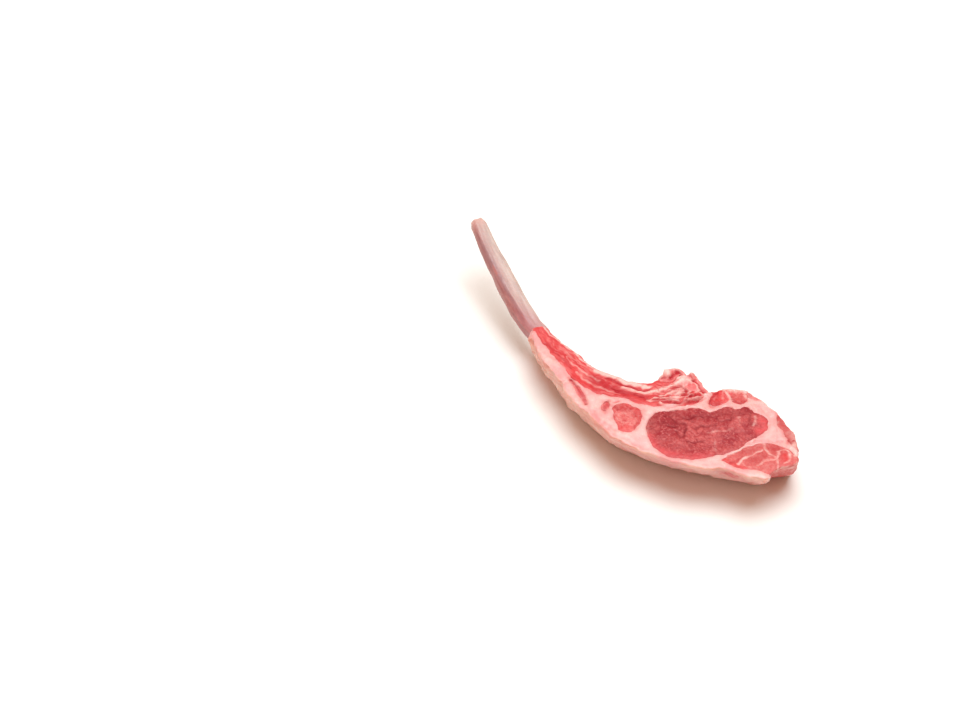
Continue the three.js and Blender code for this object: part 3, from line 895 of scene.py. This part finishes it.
lift = lift * (1 - buried) - 0.5 * buried
set_points(bone, points + normals * lift[:, None])
write_attributes(
    bone,
    grain=round_bone,
    near_side=near_side,
    ridge=ridge,
    shoulder=shoulder,
    tip=1 - ramp(along, 0.5, 7),
    root=ramp(along, 38, 56),
)
pieces["rib_bone"] = bone

# %% [markdown]
# ## A small language for finishes
# A finish is a graph of nodes that ends in one Principled shader. To keep it readable, a value
# in the graph is a Wire that can be added and multiplied like a number, and every other node
# comes from one method, which takes its type, its settings and what goes into its sockets.

# %% Wires and finishes
class Wire:
    """One value inside a finish; arithmetic on wires adds Math nodes."""

    def __init__(self, finish, socket):
        self.finish = finish
        self.socket = socket

    def math(self, operation, first, second):
        return self.finish.node("Math", {"operation": operation}, {0: first, 1: second})

    def __add__(self, other):
        return self.math("ADD", self, other)

    def __radd__(self, other):
        return self.math("ADD", other, self)

    def __sub__(self, other):
        return self.math("SUBTRACT", self, other)

    def __rsub__(self, other):
        return self.math("SUBTRACT", other, self)

    def __mul__(self, other):
        return self.math("MULTIPLY", self, other)

    def __rmul__(self, other):
        return self.math("MULTIPLY", other, self)

    def __truediv__(self, other):
        return self.math("DIVIDE", self, other)

    def __rtruediv__(self, other):
        return self.math("DIVIDE", other, self)


class Finish:
    """A material and the nodes in it."""

    def __init__(self, name):
        self.material = bpy.data.materials.new(name)
        self.material.use_nodes = True
        self.tree = self.material.node_tree
        self.shader = self.tree.nodes["Principled BSDF"]

    def put(self, socket, value):
        """Links a wire to a socket, or sets a plain value on it."""
        if isinstance(value, Wire):
            self.tree.links.new(value.socket, socket)
        elif isinstance(value, tuple) and socket.type == "RGBA":
            socket.default_value = (*value, 1)
        else:
            socket.default_value = value

    def node(self, kind, settings=None, sockets=None, out=0):
        made = self.tree.nodes.new("ShaderNode" + kind)
        for name, value in (settings or {}).items():
            setattr(made, name, value)
        for key, value in (sockets or {}).items():
            self.put(made.inputs[key], value)
        return Wire(self, made.outputs[out])

    def set(self, **inputs):
        """Sets the shader's own inputs: base_color means Base Color."""
        for name, value in inputs.items():
            self.put(self.shader.inputs[name.replace("_", " ").title().replace("Ior", "IOR")], value)

    def place(self):
        """Where a point is, in mm."""
        where = self.node("TexCoord", out=3)
        return self.node("VectorMath", {"operation": "SCALE"}, {0: where, "Scale": 1 / MM})

    def number(self, name):
        """A number stored on the points."""
        return self.node("Attribute", {"attribute_name": name}, out=2)

    def vector(self, name):
        return self.node("Attribute", {"attribute_name": name}, out=1)

    def stretched(self, vector, factors):
        return self.node("VectorMath", {"operation": "MULTIPLY"}, {0: vector, 1: factors})

    def noise(self, place, size, detail=2.0, rough=0.5, warp=0.0):
        sockets = {"Vector": place, "Scale": 1 / size, "Detail": detail}
        return self.node("TexNoise", None, {**sockets, "Roughness": rough, "Distortion": warp})

    def cell_edges(self, place, size):
        """How far a point is from the edge of the cell it lies in."""
        sockets = {"Vector": place, "Scale": 1 / size}
        return self.node("TexVoronoi", {"feature": "DISTANCE_TO_EDGE"}, sockets)

    def warped(self, vector, size, amount):
        """A place pushed about by noise, so that a pattern on it loses its straight edges."""
        push = self.node("TexNoise", None, {"Vector": vector, "Scale": 1 / size, "Detail": 1.0}, out=1)
        sockets = {0: push, 1: (amount, amount, amount), 2: vector}
        return self.node("VectorMath", {"operation": "MULTIPLY_ADD"}, sockets)

    def ramp(self, value, low, high):
        sockets = {"Value": value, "From Min": low, "From Max": high}
        return self.node("MapRange", {"interpolation_type": "SMOOTHSTEP"}, sockets)

    def band(self, value, middle, width):
        """1 where a value is at its middle, falling to 0 on both sides: a thin wavy line."""
        off = self.node("Math", {"operation": "ABSOLUTE"}, {0: value - middle})
        return 1 - self.ramp(off, 0.0, width)

    def blend(self, share, first, second):
        """From the first colour to the second as share goes from 0 to 1."""
        return self.node("Mix", {"data_type": "RGBA"}, {0: share, 6: first, 7: second}, out=2)

    def coats(self, base, *coats):
        """Lays coats of colour over a base, one after another, each as far as its share says."""
        for share, colour in coats:
            base = self.blend(share, base, colour)
        return base

    def bump(self, height, depth_mm):
        sockets = {"Height": height, "Distance": depth_mm * MM, "Strength": 1.0}
        return self.node("Bump", None, sockets)


# %% [markdown]
# ## Lean
# All the lean shares one recipe with other tones: broad patches of a deeper and a brighter red,
# the ends of bundles as small grains, thin pale veins, and the drawn seams and cracks. The
# outer walls, where fat was trimmed off or the flesh was torn, are smeared with pale membrane.
# Blood and water keep it moist, so it has a soft sheen, and light goes into it a little way.

# %% Lean
def smear(finish, place):
    """Where trimmed walls are smeared with membrane; lean and fat share these patches."""
    return finish.noise(finish.stretched(place, (1, 1, 2.2)), 5.0, 4.0, 0.6, 0.5)


def lean_finish(name, dark, deep, main, bright, fresh, pale, grain_size, veins, bloom):
    finish = Finish(name)
    place, grain = finish.place(), finish.vector("grain")
    patches = finish.noise(grain, 5.5, 3.0, 0.55)
    grains = finish.noise(grain, grain_size, 2.0, 0.55, 0.15)
    bundles = finish.cell_edges(finish.warped(grain, 1.6, 1.6), 2.4 * grain_size)
    vein_noise = finish.noise(grain, 5.0, 1.5, 0.5, 0.5)
    vein = finish.band(vein_noise, 0.5, 0.03) * finish.ramp(patches, 0.45, 0.6)
    specks = finish.ramp(finish.noise(grain, 0.8, 1.0), 0.58, 0.72)
    smears = finish.ramp(smear(finish, place), 0.48, 0.62) * finish.number("wall")
    lining = finish.number("lining")
    mist = finish.ramp(finish.noise(grain, 5.0, 3.0, 0.5, 0.4), 0.35, 0.65)

    dull = finish.blend(grains, (0.46, 0.10, 0.095), (0.66, 0.23, 0.215))
    film = finish.blend(mist, (0.50, 0.13, 0.16), (0.58, 0.27, 0.28))
    colour = finish.coats(
        finish.blend(finish.ramp(patches, 0.34, 0.62), deep, main),
        (finish.ramp(grains, 0.5, 0.68) * 0.45, bright),
        ((1 - finish.ramp(grains, 0.34, 0.47)) * 0.45, deep),
        ((1 - finish.ramp(bundles, 0.0, 0.16)) * 0.4, deep),
        (vein * veins, pale),
        (specks * 0.6, bright),
        (finish.number("dusk") * 0.65, dull),
        (finish.number("fresh") * 0.9, fresh),
        (finish.number("rim") * bloom, bright),
        (smears * 0.7, pale),
        (finish.ramp(finish.number("pale") + grains * 0.4, 0.25, 1.15), pale),
        (finish.number("dark") * 0.9, dark),
        (lining * 0.85, film),
    )

    relief = (grains * 0.7 + finish.ramp(bundles, 0.0, 0.25) * 0.35) * (1 - lining * 0.8)
    finish.set(
        base_color=colour,
        roughness=0.38 + grains * 0.22 + finish.number("dark") * 0.25,
        specular_ior_level=0.26,
        normal=finish.bump(relief, 0.26),
        subsurface_weight=0.18,
        subsurface_radius=(1.0, 0.2, 0.16),
        subsurface_scale=1.2 * MM,
        coat_weight=0.04,
        coat_roughness=0.2,
    )
    return finish.material


LEAN = {
    "eye_lean": {
        "dark": (0.19, 0.004, 0.011),
        "deep": (0.32, 0.016, 0.026),
        "main": (0.51, 0.085, 0.088),
        "bright": (0.60, 0.15, 0.15),
        "fresh": (0.70, 0.082, 0.095),
        "pale": (0.84, 0.50, 0.47),
        "grain_size": 0.9,
        "veins": 0.0,
        "bloom": 0.25,
    },
    "lean": {
        "dark": (0.38, 0.006, 0.016),
        "deep": (0.53, 0.020, 0.028),
        "main": (0.68, 0.095, 0.098),
        "bright": (0.77, 0.20, 0.20),
        "fresh": (0.66, 0.040, 0.045),
        "pale": (0.84, 0.50, 0.47),
        "grain_size": 0.85,
        "veins": 0.3,
        "bloom": 0.3,
    },
    "pale_lean": {
        "dark": (0.42, 0.012, 0.022),
        "deep": (0.62, 0.08, 0.09),
        "main": (0.77, 0.24, 0.245),
        "bright": (0.83, 0.38, 0.37),
        "fresh": (0.72, 0.12, 0.13),
        "pale": (0.86, 0.56, 0.53),
        "grain_size": 0.9,
        "veins": 0.4,
        "bloom": 0.3,
    },
}
finishes = {name: lean_finish(name, **tones) for name, tones in LEAN.items()}
print("lean finishes:", list(finishes))

# %% [markdown]
# ## Fat
# The fat of a kid or a lamb is firm and nearly white with a pink cast. It is creamier in small
# patches, which are partly painted highlight, pinker near the lean, and pinker in the creases,
# partly thin red lines and partly painted shade. The outer side, which has dried a little and
# keeps a thin red skin in places, is salmon.

# %% Fat finish
finish = Finish("fat")
place, grain = finish.place(), finish.vector("grain")
clouds = finish.noise(place, 9.0, 3.0, 0.5)
mottle = finish.noise(place, 1.8, 4.0, 0.6, 0.4)
streaks = finish.noise(grain, 1.6, 4.0, 0.6, 0.3)
skin_patches = finish.noise(grain, 4.5, 3.0, 0.6, 0.8) + finish.number("tail") * 0.07
bare = (1 - finish.ramp(smear(finish, place), 0.36, 0.46)) * finish.number("hollow")
salmon = finish.blend(finish.ramp(streaks, 0.35, 0.62), (0.74, 0.34, 0.26), (0.86, 0.55, 0.45))
colour = finish.coats(
    finish.blend(finish.ramp(clouds, 0.38, 0.62), (0.755, 0.35, 0.355), (0.82, 0.475, 0.46)),
    (finish.ramp(mottle, 0.5, 0.7) * 0.4, (0.77, 0.32, 0.33)),
    # pale creamy patches: partly the fat's own colour, partly painted highlight
    ((1 - finish.ramp(mottle, 0.3, 0.45)) * 0.6, (0.86, 0.60, 0.58)),
    (finish.ramp(streaks, 0.55, 0.7) * 0.3, (0.77, 0.33, 0.32)),
    (finish.number("blush") * 0.5, (0.75, 0.28, 0.28)),
    (finish.number("wall") * 0.8, salmon),
    (finish.ramp(skin_patches, 0.56, 0.68) * finish.number("wall") * 0.6, (0.64, 0.16, 0.12)),
    (bare * 0.75 + finish.number("scar"), (0.62, 0.09, 0.10)),
    (finish.number("pale") * 0.7, (0.87, 0.67, 0.66)),
    # drawn dark lines: red streaks and flecks, and painted shade in the creases and folds
    (finish.number("dark"), (0.66, 0.16, 0.16)),
)
finish.set(
    base_color=colour,
    roughness=0.36 + mottle * 0.2,
    normal=finish.bump(mottle * 0.6 + streaks * 0.5, 0.3),
    subsurface_weight=0.35,
    subsurface_radius=(1.0, 0.42, 0.3),
    subsurface_scale=2.4 * MM,
    coat_weight=0.1,
    coat_roughness=0.25,
)
finishes["fat"] = finish.material

# %% [markdown]
# ## Bone
# Scraped rib bone is not white. It keeps a translucent sheath, pale beige on top and mauve on
# the near side, where the mauve is painted darker as shade, as it is on the underside. It has
# blue-grey streaks along the ridge, a red line where flesh was scraped off, and a creamy sawn tip.

# %% Bone finish
finish = Finish("bone")
place, grain = finish.place(), finish.vector("grain")
streaks = finish.noise(grain, 0.9, 4.0, 0.6, 0.2)
clouds = finish.noise(grain, 3.2, 3.0, 0.5)
scraped = finish.ramp(finish.noise(grain, 1.6, 3.0, 0.6), 0.56, 0.66) * finish.number("near_side")
# the near side's own mauve, painted darker as shade
near = finish.blend(finish.ramp(streaks, 0.35, 0.62), (0.33, 0.105, 0.11), (0.47, 0.20, 0.195))
colour = finish.coats(
    finish.blend(finish.ramp(streaks, 0.35, 0.65), (0.44, 0.31, 0.29), (0.58, 0.46, 0.42)),
    (finish.number("shoulder") * 0.7, (0.50, 0.315, 0.315)),
    # painted shade: the near side and the underside darker than the top
    (finish.number("near_side"), near),
    (finish.number("ridge") * finish.ramp(clouds, 0.4, 0.56) * 0.85, (0.30, 0.15, 0.165)),
    (scraped * 0.6, (0.55, 0.17, 0.15)),
    (finish.number("root") * 0.45, (0.50, 0.20, 0.23)),
    (finish.number("tip") * 0.8, (0.64, 0.39, 0.36)),
)
finish.set(
    base_color=colour,
    roughness=0.38 + streaks * 0.2,
    normal=finish.bump(streaks * 0.8 + finish.noise(place, 0.7, 2.0) * 0.3, 0.2),
    subsurface_weight=0.2,
    subsurface_radius=(1.0, 0.5, 0.4),
    subsurface_scale=1.2 * MM,
    coat_weight=0.15,
    coat_roughness=0.2,
)
finishes["bone"] = finish.material

# %% [markdown]
# ## Table
# The table is matt white paper, a shade uneven.

# %% Table finish
finish = Finish("table_top")
paper = finish.noise(finish.place(), 60.0, 2.0)
finish.set(base_color=finish.blend(paper, (0.85, 0.85, 0.85), (0.87, 0.87, 0.87)), roughness=0.7)
table.data.materials.append(finish.material)

# %% [markdown]
# ## Put it together
# Each piece stands in for the frame's piece of the same name, wears its finish and rides on
# the chop's only body.

# %% Put it together
slots = {part["node"]: part["material_slot"] for part in frame["record"]["subparts"]}
for node, piece in pieces.items():
    piece.data.materials.append(finishes[slots[node]])
    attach(piece, "root")
    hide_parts(node)
print("dressed", len(pieces), "pieces")
